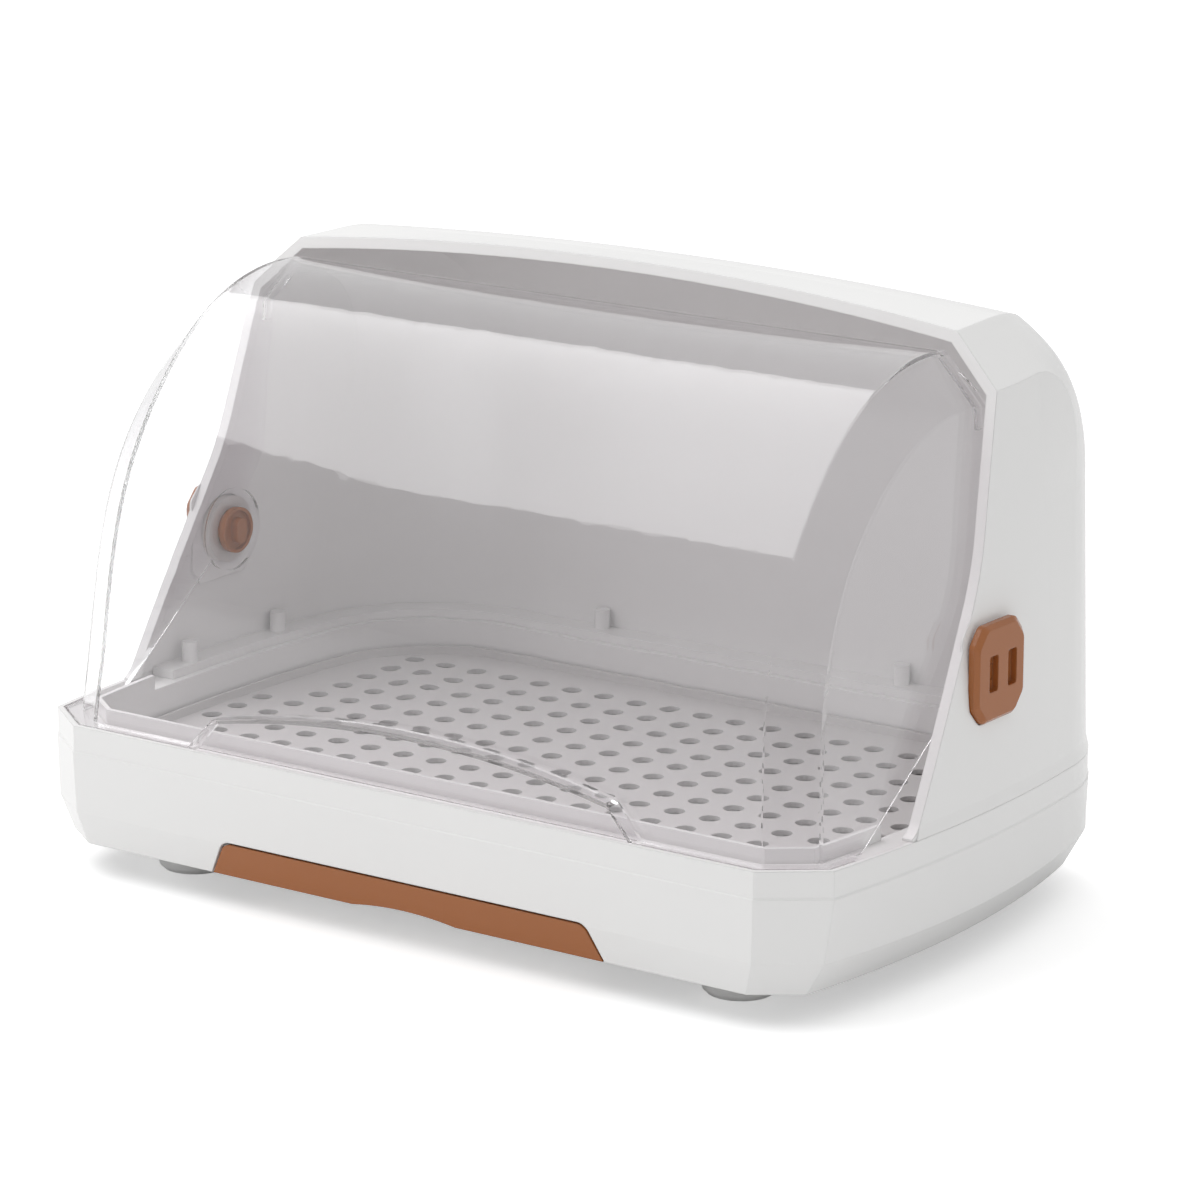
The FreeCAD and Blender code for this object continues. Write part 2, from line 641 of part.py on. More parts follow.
def make_hood():
    outer = hood_block(0.0, 0.0)
    inner = hood_block(HOOD_WALL, -1.0)
    region, toe = mouth_region()
    shell = outer.cut(inner)
    back_part = shell.common(region)
    band = region.cut(region.translated(Vector(0, FRAME_DEPTH, 0)))
    frame_inner = hood_front_stretch(FRAME_WIDTH, -1.0)
    frame = hood_front_stretch(0.0, 0.0).cut(frame_inner)
    frame = frame.common(band.fuse(toe))
    body = back_part.fuse(frame)

    seat = base_ring(RIM_WIDTH + 0.4, SEAT_INNER, -LEDGE_DROP, 0)
    seat = seat.fuse(base_ring(HOOD_INSET + HOOD_WALL / 2.0, SEAT_INNER, 0, SEAT_TOP))
    seat = seat.common(slab(SEAT_FRONT_Y, BEYOND, -LEDGE_DROP, SEAT_TOP))
    flare = (HOOD_INSET + HOOD_LEAN * SKIRT_HEIGHT - SKIRT_INSET) / SKIRT_HEIGHT
    sunk = SKIRT_HEIGHT + SKIRT_SINK
    skirt = Part.makeLoft([base_wire(RIM, SKIRT_INSET, 0.0),
                           base_wire(RIM, SKIRT_INSET + flare * sunk, sunk)], True, True)
    skirt = skirt.cut(base_prism(HOOD_INSET + HOOD_WALL - SKIRT_ROOT_GAP, -1, sunk + 1))
    pieces = [seat, skirt.common(region)]
    for x, y in hood_screw_places():
        pieces.append(cylinder(BOSS_RADIUS, x, y, 0, 12.0))
    pad = side_prism(cap_outline(3.0), PAD_INNER_X, CAP_BACK_X).common(outer)
    raised = side_prism(cap_outline(-1.5), PAD_INNER_X, CAP_BACK_X)
    for piece in (pad, raised):
        pieces.extend(both_sides(piece))
    body = body.fuse(pieces)

    cuts = []
    recess = cross_cylinder(WASHER_RADIUS + 0.6, VISOR_HUB_HALF - 4, PAD_INNER_X,
                            HINGE_Y, HINGE_Z)
    pocket = side_prism(cap_outline(0.4), CAP_BACK_X, BEYOND)
    bore = cross_cylinder(PIN_RADIUS + PIN_RUNNING_GAP, PAD_INNER_X - 1, CAP_BACK_X + 1,
                          HINGE_Y, HINGE_Z)
    for piece in (recess, pocket, bore):
        cuts.extend(both_sides(piece))
    for x, y in hood_screw_places():
        cuts.append(cylinder(SCREW_CORE, x, y, -LEDGE_DROP - 1, 10.0))
    return body.cut(Part.makeCompound(cuts))


# Visor: a skin between rails that turn about the hinge axis
def visor_point(angle, radius, x, inset_r, inset_x):
    a = math.radians(angle)
    r = radius - inset_r
    return Vector(x - inset_x, HINGE_Y - r * math.cos(a), HINGE_Z + r * math.sin(a))


def visor_skin(inset):
    """Solid bounded by the visor's outer surface moved inward by inset."""
    corner = inset * 0.41
    rails = []
    for kind in ("hub", "cheek", "edge"):
        points = []
        for angle, edge_out, edge_in, cheek_out, cheek_in in VISOR_STATIONS:
            if kind == "edge":
                radius = VISOR_REACH + edge_out
                points.append(visor_point(angle, radius, VISOR_HUB_HALF - edge_in, inset, corner))
            elif kind == "cheek":
                radius = VISOR_REACH + cheek_out
                points.append(visor_point(angle, radius, VISOR_HUB_HALF - cheek_in, corner, inset))
            else:
                radius = VISOR_HUB_RADIUS
                points.append(visor_point(angle, radius, VISOR_HUB_HALF, 0.0, inset))
        rails.append(points)

    def edge_through(points, sign):
        curve = Part.BSplineCurve()
        curve.interpolate([Vector(p.x * sign, p.y, p.z) for p in points])
        return curve.toShape()

    right = [edge_through(points, 1) for points in rails]
    left = [edge_through(points, -1) for points in rails]
    loop = right + left[::-1]
    faces = []
    for index, first in enumerate(loop):
        second = loop[(index + 1) % len(loop)]
        faces.append(Part.makeRuledSurface(first, second))
    for end in (0, -1):
        ring = [points[end] for points in rails]
        ring = ring + [Vector(-p.x, p.y, p.z) for p in ring[::-1]]
        faces.append(Part.Face(Part.makePolygon(ring + [ring[0]])))
    shell = Part.makeShell(faces)
    shell.sewShape()
    solid = Part.makeSolid(shell)
    if solid.Volume < 0:
        solid.reverse()
    return solid


def soften_rails(skin):
    """Rounds the long creases between the front, the shoulders and the cheeks."""
    rails = [edge for edge in skin.Edges
             if isinstance(edge.Curve, Part.BSplineCurve) and edge.Length > VISOR_REACH]
    return skin.makeFillet(VISOR_FILLET, rails)


def visor_arch_lip(skin_inner):
    """The flange that rises in the middle of the front into a finger arch."""
    low = -LEDGE_DROP + VISOR_SEAT_GAP
    knee_x, knee_z = ARCH_KNEE
    front_y = -HALF_DEPTH + FLANGE_INSET

    def place(x, z):
        return Vector(x, front_y, z)

    def line_of(lift):
        foot = (ARCH_FOOT_X - lift, low + lift * 1.0)
        return [foot, (knee_x - 0.4 * lift, knee_z + lift), (0.0, ARCH_TOP - VISOR_WALL + lift)]

    lower = line_of(0.0)
    upper = line_of(VISOR_WALL)
    upper[0] = (ARCH_FOOT_X + 1.0, low + VISOR_WALL)
    edges = []
    for points in (lower, upper):
        foot, knee, top = points
        edges.append(Part.Arc(place(-knee[0], knee[1]), place(*top), place(*knee)).toShape())
        edges.append(Part.makeLine(place(*knee), place(*foot)))
        edges.append(Part.makeLine(place(-knee[0], knee[1]), place(-foot[0], foot[1])))
    for sign in (-1, 1):
        edges.append(Part.makeLine(place(lower[0][0] * sign, lower[0][1]),
                                   place(upper[0][0] * sign, upper[0][1])))
    face = Part.Face(Part.Wire(Part.__sortEdges__(edges)))
    lip = face.extrude(Vector(0, 16.0, 0))
    return lip.cut(skin_inner)


def make_visor():
    outer = soften_rails(visor_skin(0.0))
    inner = visor_skin(VISOR_WALL)
    low = -LEDGE_DROP + VISOR_SEAT_GAP
    reach = VISOR_EAR_RADIUS
    outline = side_prism([
        (-BEYOND, low, 0),
        (CHEEK_FOOT_Y, low, 8.0),
        (HINGE_Y + reach * 0.95, HINGE_Z - reach, reach * 0.8),
        (CHEEK_REAR_MID[0], CHEEK_REAR_MID[1], 0),
        (CHEEK_REAR_TOP[0], CHEEK_REAR_TOP[1], 0),
        (VISOR_TOP_Y, CHEEK_REAR_TOP[1] + 8.0, 0),
        (VISOR_TOP_Y, BEYOND, 0),
        (-BEYOND, BEYOND, 0),
    ], -BEYOND, BEYOND)
    skin = outer.cut(inner).common(outline)
    bead_region = slab(VISOR_TOP_Y - VISOR_BEAD_LENGTH, VISOR_TOP_Y,
                       CHEEK_REAR_TOP[1] - 16.0, BEYOND)
    bead = outer.cut(visor_skin(VISOR_BEAD)).common(bead_region)
    ear = cross_cylinder(VISOR_BOSS_RADIUS, VISOR_HUB_HALF - VISOR_WALL, VISOR_HUB_HALF,
                         HINGE_Y, HINGE_Z)
    flange = base_prism(FLANGE_INSET, low, low + VISOR_WALL)
    flange_end = -HALF_DEPTH + FLANGE_LENGTH
    flange = flange.common(slab(-BEYOND, flange_end, low, low + VISOR_WALL))
    flange = flange.cut(box(-ARCH_FOOT_X, ARCH_FOOT_X, -BEYOND, flange_end, low - 1, -low))
    flange = flange.cut(inner)
    body = skin.fuse([bead, flange, visor_arch_lip(inner)] + both_sides(ear))
    bore = cross_cylinder(PIN_RADIUS + PIN_RUNNING_GAP, VISOR_HUB_HALF - 8, VISOR_HUB_HALF + 4,
                          HINGE_Y, HINGE_Z)
    body = body.cut(Part.makeCompound(both_sides(bore)))
    return body


# Hinge pieces of the right side, mirrored for the left side
def slot_middle(side):
    return HINGE_Y + side * CAP_SLOT_OFFSET + CAP_SLOT_SHIFT


def tongue_middle(side):
    return HINGE_Y + side * TONGUE_OFFSET + CAP_SLOT_SHIFT


def make_hinge_cap():
    plate = side_prism(cap_outline(0.0), CAP_BACK_X, CAP_FACE_X - CAP_BEVEL)
    low = rounded_face(cap_outline(0.0), lambda y, z: Vector(CAP_FACE_X - CAP_BEVEL, y, z))
    high = rounded_face(cap_outline(-CAP_BEVEL), lambda y, z: Vector(CAP_FACE_X, y, z))
    bevel = Part.makeLoft([low.OuterWire, high.OuterWire], True, True)
    plate = plate.fuse(bevel)
    half_y = CAP_SLOT_WIDTH / 2.0
    half_z = CAP_SLOT_HEIGHT / 2.0
    reach_y = TONGUE_HALF_Y + TONGUE_GAP
    reach_z = TONGUE_HALF_Z + TONGUE_GAP
    for side in (-1, 1):
        y = slot_middle(side)
        slot = side_prism([
            (y - half_y, HINGE_Z - half_z, 1.5),
            (y + half_y, HINGE_Z - half_z, 1.5),
            (y + half_y, HINGE_Z + half_z, 1.5),
            (y - half_y, HINGE_Z + half_z, 1.5),
        ], CAP_FACE_X - CAP_SLOT_DEPTH, CAP_FACE_X + 1)
        y = tongue_middle(side)
        hole = box(CAP_BACK_X - 1, CAP_FACE_X, y - reach_y, y + reach_y,
                   HINGE_Z - reach_z, HINGE_Z + reach_z)
        plate = plate.cut(slot.fuse(hole))
    return plate.removeSplitter()


def make_hinge_pin():
    inner_x = VISOR_HUB_HALF - VISOR_WALL - PIN_SIDE_GAP
    head = cross_cylinder(PIN_HEAD_RADIUS, inner_x - PIN_HEAD_THICKNESS, inner_x,
                          HINGE_Y, HINGE_Z)
    recess = cross_cylinder(PIN_HEAD_RADIUS - 1.8, inner_x - PIN_HEAD_THICKNESS - 1,
                            inner_x - PIN_HEAD_THICKNESS + 1.6, HINGE_Y, HINGE_Z)
    head = head.cut(recess)
    grip = side_prism([
        (HINGE_Y - 3.75, HINGE_Z - 6.5, 3.5),
        (HINGE_Y + 3.75, HINGE_Z - 6.5, 3.5),
        (HINGE_Y + 3.75, HINGE_Z + 6.5, 3.5),
        (HINGE_Y - 3.75, HINGE_Z + 6.5, 3.5),
    ], inner_x - PIN_HEAD_THICKNESS - PIN_GRIP, inner_x - 1.0)
    barrel = cross_cylinder(PIN_RADIUS, inner_x - 0.5, CAP_BACK_X - 0.2, HINGE_Y, HINGE_Z)
    tongues = []
    for side in (-1, 1):
        y = tongue_middle(side)
        tongues.append(box(CAP_BACK_X - 0.5, CAP_FACE_X - CAP_SLOT_DEPTH,
                           y - TONGUE_HALF_Y, y + TONGUE_HALF_Y,
                           HINGE_Z - TONGUE_HALF_Z, HINGE_Z + TONGUE_HALF_Z))
    return head.fuse([grip, barrel] + tongues).removeSplitter()


def make_hinge_washer():
    first = VISOR_HUB_HALF + WASHER_HUB_GAP
    last = first + WASHER_THICKNESS
    ring = cross_cylinder(WASHER_RADIUS, first, last, HINGE_Y, HINGE_Z)
    bore = cross_cylinder(PIN_RADIUS + PIN_RUNNING_GAP, first - 1, last + 1, HINGE_Y, HINGE_Z)
    return ring.cut(bore)


# Rack plate with drain holes and a low rim
def make_rack_plate():
    inset = TUB_INSET + WALL + RACK_GAP
    bottom = RACK_TOP - RACK_THICKNESS
    plate = base_prism(inset, bottom, RACK_TOP)
    rim = base_ring(inset, inset + RACK_RIM_WIDTH, RACK_TOP, RACK_TOP + RACK_RIM)
    field = Part.Face(base_wire(RIM, inset + RACK_RIM_WIDTH + RACK_HOLE_EDGE, RACK_TOP))
    columns = int(HALF_WIDTH / RACK_HOLE_PITCH)
    rows = int(HALF_DEPTH / RACK_HOLE_PITCH)
    holes = []
    for column in range(-columns, columns + 1):
        for row in range(-rows, rows + 1):
            x = column * RACK_HOLE_PITCH
            y = row * RACK_HOLE_PITCH
            if field.isInside(Vector(x, y, RACK_TOP), 1e-6, True):
                holes.append(cylinder(RACK_HOLE_RADIUS, x, y, bottom - 1, RACK_TOP + 1))
    return plate.fuse(rim).cut(Part.makeCompound(holes)).removeSplitter()


# Drip drawer: brown front panel and the tray behind it
def make_drawer_front():
    outer = base_body(0)
    window = front_prism(drawer_outline(0.0), -HALF_DEPTH - 2, -HALF_DEPTH + 12)
    panel = outer.cut(base_body(DRAWER_PANEL_THICKNESS)).common(window)
    scoop_radius = (SCOOP_HALF ** 2 + SCOOP_HEIGHT ** 2) / (2.0 * SCOOP_HEIGHT)
    scoop = Part.makeCylinder(scoop_radius, 30, Vector(0, -HALF_DEPTH - 5,
                              BASE_BOTTOM + SCOOP_HEIGHT - scoop_radius), Vector(0, 1, 0))
    panel = panel.cut(scoop)
    root = base_body(DRAWER_PANEL_THICKNESS - 1.0)
    pieces = [panel]
    for share in (-0.7, 0.0, 0.7):
        x = share * TRAY_HALF
        hook = box(x - 8, x + 8, -HALF_DEPTH, TRAY_FRONT_Y, -50.0, -46.0)
        pieces.append(hook.common(root))
    return pieces[0].fuse(pieces[1:])


def make_drawer_tray():
    outer = box(-TRAY_HALF, TRAY_HALF, TRAY_FRONT_Y, TRAY_REAR_Y, TRAY_BOTTOM, TRAY_TOP)
    inner = box(-TRAY_HALF + TRAY_WALL, TRAY_HALF - TRAY_WALL, TRAY_FRONT_Y + TRAY_WALL,
                TRAY_REAR_Y - TRAY_WALL, TRAY_BOTTOM + TRAY_WALL, TRAY_TOP + 1)
    lips = []
    for sign in (-1, 1):
        first = min(sign * TRAY_HALF, sign * (TRAY_HALF + TRAY_LIP))
        lips.append(box(first, first + TRAY_LIP, TRAY_FRONT_Y + 8, TRAY_REAR_Y,
                        TRAY_TOP - 2.0, TRAY_TOP))
    return outer.cut(inner).fuse(lips).removeSplitter()


def make_drawer_rail():
    roof = TUB_FLOOR_TOP - WALL
    web = box(RAIL_WEB_X, RAIL_WEB_X + RAIL_THICKNESS, RAIL_FRONT_Y, RAIL_REAR_Y,
              RAIL_LEDGE_TOP - RAIL_THICKNESS, roof)
    ledge = box(TRAY_HALF + 1.5, RAIL_WEB_X, RAIL_FRONT_Y, RAIL_REAR_Y,
                RAIL_LEDGE_TOP - RAIL_THICKNESS, RAIL_LEDGE_TOP)
    foot = box(RAIL_WEB_X, RAIL_SCREW_X + 5.5, RAIL_FRONT_Y, RAIL_REAR_Y,
               roof - RAIL_THICKNESS, roof)
    stop = box(TRAY_HALF + 1.5, RAIL_WEB_X, RAIL_REAR_Y - 3, RAIL_REAR_Y,
               RAIL_LEDGE_TOP, roof)
    body = web.fuse([ledge, foot, stop])
    for y in RAIL_SCREW_Y:
        body = body.cut(cylinder(SCREW_CORE + 0.3, RAIL_SCREW_X, y, roof - 5, roof + 1))
    return body.removeSplitter()


# Feet and the screws that hold them
def make_foot(x, y):
    bottom = BASE_BOTTOM - FOOT_HEIGHT
    profile = [
        Vector(0, 0, bottom),
        Vector(FOOT_BOTTOM_RADIUS - 2.0, 0, bottom),
        Vector(FOOT_BOTTOM_RADIUS, 0, bottom + 2.0),
        Vector(FOOT_TOP_RADIUS, 0, BASE_BOTTOM),
        Vector(0, 0, BASE_BOTTOM),
    ]
    wire = Part.makePolygon(profile + [profile[0]])
    body = Part.Face(wire).revolve(Vector(0, 0, 0), Vector(0, 0, 1), 360)
    plug = cylinder(POST_BORE - 0.3, 0, 0, BASE_BOTTOM, BASE_BOTTOM + 5.5)
    plug = plug.cut(cylinder(7.0, 0, 0, BASE_BOTTOM, BASE_BOTTOM + 6))
    body = body.fuse(plug)
    body = body.cut(cylinder(SCREW_CORE + 0.4, 0, 0, bottom - 1, BASE_BOTTOM + 6))
    body = body.cut(cylinder(4.5, 0, 0, bottom - 1, bottom + 6))
    body.translate(Vector(x, y, 0))
    return body.removeSplitter()


def make_foot_screws():
    screws = []
    bottom = BASE_BOTTOM - FOOT_HEIGHT
    for x, y in foot_places():
        screws.append(screw(SCREW_CORE, 3.5, x, y, bottom + 3.5, 2.5, BASE_BOTTOM + 16))
    return Part.makeCompound(screws)


def make_rail_screws():
    screws = []
    head_z = TUB_FLOOR_TOP - WALL - RAIL_THICKNESS - 2.0
    for x, y in rail_screw_places():
        screws.append(screw(SCREW_CORE, 3.0, x, y, head_z, 2.0, TUB_FLOOR_TOP + 3))
    return Part.makeCompound(screws)


def make_hood_screws():
    screws = []
    head_z = -2 * LEDGE_DROP - 2.2
    for x, y in hood_screw_places():
        screws.append(screw(SCREW_CORE, 3.5, x, y, head_z, 2.2, 9.0))
    return Part.makeCompound(screws)


def save(name, shape):
    placed = shape.translated(Vector(0, 0, FOOT_HEIGHT - BASE_BOTTOM))
    bounds = placed.BoundBox
    print(name, placed.ShapeType, len(placed.Solids), "valid", placed.isValid(),
          "volume %.0f" % placed.Volume,
          "x %.1f %.1f y %.1f %.1f z %.1f %.1f" % (bounds.XMin, bounds.XMax, bounds.YMin,
                                                 bounds.YMax, bounds.ZMin, bounds.ZMax))
    if len(placed.Solids) == 1:
        placed = placed.Solids[0]
    placed.exportStep("parts/" + name + ".step")


save("base_tub", make_base_tub())
save("hood_shell", make_hood())
save("visor", make_visor())
cap = make_hinge_cap()
pin = make_hinge_pin()
washer = make_hinge_washer()
rail = make_drawer_rail()
for piece_name, piece_shape in (("hinge_cap", cap), ("hinge_pin", pin), ("hinge_washer", washer),
                                ("drawer_rail", rail)):
    save(piece_name + "_right", piece_shape)
    save(piece_name + "_left", mirrored(piece_shape))
save("rack_plate", make_rack_plate())
save("drawer_front", make_drawer_front())
save("drawer_tray", make_drawer_tray())
save("foot_front_left", make_foot(-FOOT_X, -FOOT_Y))
save("foot_front_right", make_foot(FOOT_X, -FOOT_Y))
save("foot_rear_left", make_foot(-FOOT_X, FOOT_Y))
save("foot_rear_right", make_foot(FOOT_X, FOOT_Y))
save("foot_screws", make_foot_screws())
save("rail_screws", make_rail_screws())
save("hood_screws", make_hood_screws())
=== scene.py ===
import bpy, math
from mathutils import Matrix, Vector

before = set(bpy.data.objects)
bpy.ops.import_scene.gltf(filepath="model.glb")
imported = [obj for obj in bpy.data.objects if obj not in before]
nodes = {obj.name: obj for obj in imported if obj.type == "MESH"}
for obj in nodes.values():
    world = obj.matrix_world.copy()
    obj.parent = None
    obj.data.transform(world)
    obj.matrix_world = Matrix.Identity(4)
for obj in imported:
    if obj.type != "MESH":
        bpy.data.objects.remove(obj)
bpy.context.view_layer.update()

# View and light. The camera stands to the right of the front, a little above the rack, with a
# long lens. The room is white and even, with one wide soft lamp above the left side, and the
# white floor is clear from below, so that the underside can be looked at.
CAMERA_PLACE = (1.4472, -2.0221, 0.7978)
CAMERA_TURN = (75.098, -0.081, 35.459)
LENS_MM = 161.15
SENSOR_MM = 36.0
SIGHT_LIMIT = 50.0
camera_data = bpy.data.cameras.new("view")
camera_data.lens = LENS_MM
camera_data.sensor_width = SENSOR_MM
camera_data.clip_end = SIGHT_LIMIT
camera = bpy.data.objects.new("view", camera_data)
camera.location = CAMERA_PLACE
camera.rotation_euler = [math.radians(angle) for angle in CAMERA_TURN]
bpy.context.scene.collection.objects.link(camera)
bpy.context.scene.camera = camera
bpy.context.scene.view_settings.view_transform = "Standard"

LAMP_HEIGHT = 2.2
LAMP_LEFT = -2.15
LAMP_RIGHT = -0.2
LAMP_FRONT = -2.15
LAMP_REAR = 1.0
LAMP_WATTS = 37.0
lamp_data = bpy.data.lights.new("ceiling_softbox", "AREA")
lamp_data.shape = "RECTANGLE"
lamp_data.size = LAMP_RIGHT - LAMP_LEFT
lamp_data.size_y = LAMP_REAR - LAMP_FRONT
lamp_data.energy = LAMP_WATTS
lamp = bpy.data.objects.new("ceiling_softbox", lamp_data)
lamp.location = ((LAMP_LEFT + LAMP_RIGHT) / 2.0, (LAMP_FRONT + LAMP_REAR) / 2.0, LAMP_HEIGHT)
bpy.context.scene.collection.objects.link(lamp)


def shader(tree, kind, values=None, **settings):
    """Adds a shader node, with its settings first and then the values of its inputs."""
    node = tree.nodes.new(kind)
    for setting, value in settings.items():
        setattr(node, setting, value)
    for socket, value in (values or {}).items():
        node.inputs[socket].default_value = value
    return node


def link(source, output, target, socket):
    """Joins an output of one shader node to an input of another."""
    source.id_data.links.new(source.outputs[output], target.inputs[socket])


WHITE_LIGHT = (1, 1, 1, 1)
ROOM_EVEN = 0.8
ROOM_DIM = 0.53
ROOM_DIM_TOWARDS = (0.62, -0.78, -0.05)
ROOM_MIRRORED = 0.72
ROOM_SEEN = 1.0
world = bpy.data.worlds.new("studio")
bpy.context.scene.world = world
world.use_nodes = True
room = world.node_tree
room.nodes.clear()
room_path = shader(room, "ShaderNodeLightPath")
room_place = shader(room, "ShaderNodeTexCoord")
facing = shader(room, "ShaderNodeVectorMath", {1: Vector(ROOM_DIM_TOWARDS).normalized()},
                operation="DOT_PRODUCT")
dimmer = shader(room, "ShaderNodeMapRange", {"To Min": ROOM_EVEN, "To Max": ROOM_DIM})
mirrored = shader(room, "ShaderNodeMix", {"B": ROOM_MIRRORED}, data_type="FLOAT")
looked_at = shader(room, "ShaderNodeMath", operation="MAXIMUM")
seen = shader(room, "ShaderNodeMix", {"B": ROOM_SEEN}, data_type="FLOAT")
sky = shader(room, "ShaderNodeBackground", {"Color": WHITE_LIGHT})
room_out = shader(room, "ShaderNodeOutputWorld")
link(room_place, "Generated", facing, 0)
link(facing, "Value", dimmer, "Value")
link(room_path, "Is Glossy Ray", mirrored, "Factor")
link(dimmer, "Result", mirrored, "A")
link(room_path, "Is Camera Ray", looked_at, 0)
link(room_path, "Is Transmission Ray", looked_at, 1)
link(looked_at, 0, seen, "Factor")
link(mirrored, "Result", seen, "A")
link(seen, "Result", sky, "Strength")
link(sky, 0, room_out, "Surface")

FLOOR_SIZE = 30.0
FLOOR_WHITE = (0.92, 0.92, 0.92, 1)
FLOOR_ROUGHNESS = 0.6
FLOOR_SPECULAR = 0.1
FLOOR_GLOW = 0.40
bpy.ops.object.select_all(action="DESELECT")
bpy.ops.mesh.primitive_plane_add(size=FLOOR_SIZE, location=(0, 0, 0))
floor = bpy.context.object
floor.name = "floor"
floor_finish = bpy.data.materials.new("floor_finish")
floor_finish.use_nodes = True
floor_tree = floor_finish.node_tree
floor_base = floor_tree.nodes["Principled BSDF"]
floor_base.inputs["Base Color"].default_value = FLOOR_WHITE
floor_base.inputs["Roughness"].default_value = FLOOR_ROUGHNESS
floor_base.inputs["Specular IOR Level"].default_value = FLOOR_SPECULAR
floor_glow = shader(floor_tree, "ShaderNodeEmission", {"Strength": FLOOR_GLOW})
floor_path = shader(floor_tree, "ShaderNodeLightPath")
floor_seen = shader(floor_tree, "ShaderNodeMath", operation="MAXIMUM")
floor_bright = shader(floor_tree, "ShaderNodeAddShader")
floor_top = shader(floor_tree, "ShaderNodeMixShader")
floor_side = shader(floor_tree, "ShaderNodeNewGeometry")
floor_clear = shader(floor_tree, "ShaderNodeBsdfTransparent")
floor_both = shader(floor_tree, "ShaderNodeMixShader")
link(floor_path, "Is Camera Ray", floor_seen, 0)
link(floor_path, "Is Transmission Ray", floor_seen, 1)
link(floor_base, 0, floor_bright, 0)
link(floor_glow, 0, floor_bright, 1)
link(floor_seen, 0, floor_top, 0)
link(floor_base, 0, floor_top, 1)
link(floor_bright, 0, floor_top, 2)
link(floor_side, "Backfacing", floor_both, 0)
link(floor_top, 0, floor_both, 1)
link(floor_clear, 0, floor_both, 2)
link(floor_both, 0, floor_tree.nodes["Material Output"], "Surface")
floor.data.materials.append(floor_finish)

# Base tub. One large injection moulding in gloss white plastic, with the rim, the ledge for the
# visor, the inner tub, its drains and the bosses in one piece. Its edges are softly rounded by
# the mould, and the gloss wavers a little over the large faces.
PLASTIC_IOR = 1.49
WAVE_SCALE = 9.0
WAVE_DETAIL = 2.0
GLOSS_DRIFT = 0.05
TONE_DRIFT = 0.015
GRAIN_DETAIL = 3.0
GRAIN_STRENGTH = 0.25
EDGE_SAMPLES = 4


def moulded_plastic(name, colour, roughness, grain_scale, grain_depth, edge_radius):
    """Moulded plastic: uneven gloss, a fine grain, faint tone drift and rounded edges."""
    finish = bpy.data.materials.new(name)
    finish.use_nodes = True
    tree = finish.node_tree
    base = tree.nodes["Principled BSDF"]
    base.inputs["IOR"].default_value = PLASTIC_IOR
    darker = [tone * (1.0 - TONE_DRIFT) for tone in colour]
    lighter = [min(1.0, tone * (1.0 + TONE_DRIFT)) for tone in colour]
    place = shader(tree, "ShaderNodeTexCoord")
    wave = shader(tree, "ShaderNodeTexNoise", {"Scale": WAVE_SCALE, "Detail": WAVE_DETAIL})
    gloss = shader(tree, "ShaderNodeMapRange",
                   {"To Min": roughness - GLOSS_DRIFT, "To Max": roughness + GLOSS_DRIFT})
    drift = shader(tree, "ShaderNodeMix", {"A": (*darker, 1), "B": (*lighter, 1)},
                   data_type="RGBA")
    grain = shader(tree, "ShaderNodeTexNoise", {"Scale": grain_scale, "Detail": GRAIN_DETAIL})
    bump = shader(tree, "ShaderNodeBump", {"Strength": GRAIN_STRENGTH, "Distance": grain_depth})
    edge = shader(tree, "ShaderNodeBevel", {"Radius": edge_radius}, samples=EDGE_SAMPLES)
    link(place, "Object", wave, "Vector")
    link(place, "Object", grain, "Vector")
    link(wave, "Fac", gloss, "Value")
    link(wave, "Fac", drift, "Factor")
    link(gloss, "Result", base, "Roughness")
    link(drift, "Result", base, "Base Color")
    link(grain, "Fac", bump, "Height")
    link(edge, "Normal", bump, "Normal")
    link(bump, "Normal", base, "Normal")
    return finish


def dress(node, finish):
    """Gives a node of the frame its finish all over."""
    nodes[node].data.materials.clear()
    nodes[node].data.materials.append(finish)


WHITE = (0.85, 0.847, 0.84)
white_gloss = moulded_plastic("white_gloss", WHITE, roughness=0.22, grain_scale=900.0,
                              grain_depth=0.00002, edge_radius=0.0009)
dress("base_tub", white_gloss)

# Feet. Four pads of soft grey-white rubber with rounded edges, each plugged into a post under
# the tub and held there by a screw.
# The rubber's own pale grey-white is partly real and partly painted light: it is made lighter
# than the tub's white to lift the shade the feet stand in under the tub.
RUBBER_TONE_AND_PAINTED_LIGHT = (0.93, 0.925, 0.915)
foot_rubber = moulded_plastic("foot_rubber", RUBBER_TONE_AND_PAINTED_LIGHT, roughness=0.50, grain_scale=1400.0,
                              grain_depth=0.00006, edge_radius=0.0012)
for corner in ("front_left", "front_right", "rear_left", "rear_right"):
    dress("foot_" + corner, foot_rubber)

# Screws. Cross-head pan screws of zinc-plated steel: four in the feet, six in the drawer rails
# and six that hold the hood, all driven from below.
ZINC = (0.66, 0.66, 0.67, 1)
ZINC_SMOOTH = 0.22
ZINC_DULL = 0.42
SCRATCH_SCALE = 700.0
SCRATCH_DETAIL = 4.0
SCRATCH_STRENGTH = 0.2
SCRATCH_DEPTH = 0.00003


def plated_steel(name):
    """Zinc-plated steel: bright metal with fine scratches that dull it in places."""
    finish = bpy.data.materials.new(name)
    finish.use_nodes = True
    tree = finish.node_tree
    base = tree.nodes["Principled BSDF"]
    base.inputs["Base Color"].default_value = ZINC
    base.inputs["Metallic"].default_value = 1.0
    place = shader(tree, "ShaderNodeTexCoord")
    scratches = shader(tree, "ShaderNodeTexNoise",
                       {"Scale": SCRATCH_SCALE, "Detail": SCRATCH_DETAIL})
    gloss = shader(tree, "ShaderNodeMapRange", {"To Min": ZINC_SMOOTH, "To Max": ZINC_DULL})
    bump = shader(tree, "ShaderNodeBump",
                  {"Strength": SCRATCH_STRENGTH, "Distance": SCRATCH_DEPTH})
    link(place, "Object", scratches, "Vector")
    link(scratches, "Fac", gloss, "Value")
    link(gloss, "Result", base, "Roughness")
    link(scratches, "Fac", bump, "Height")
    link(bump, "Normal", base, "Normal")
    return finish


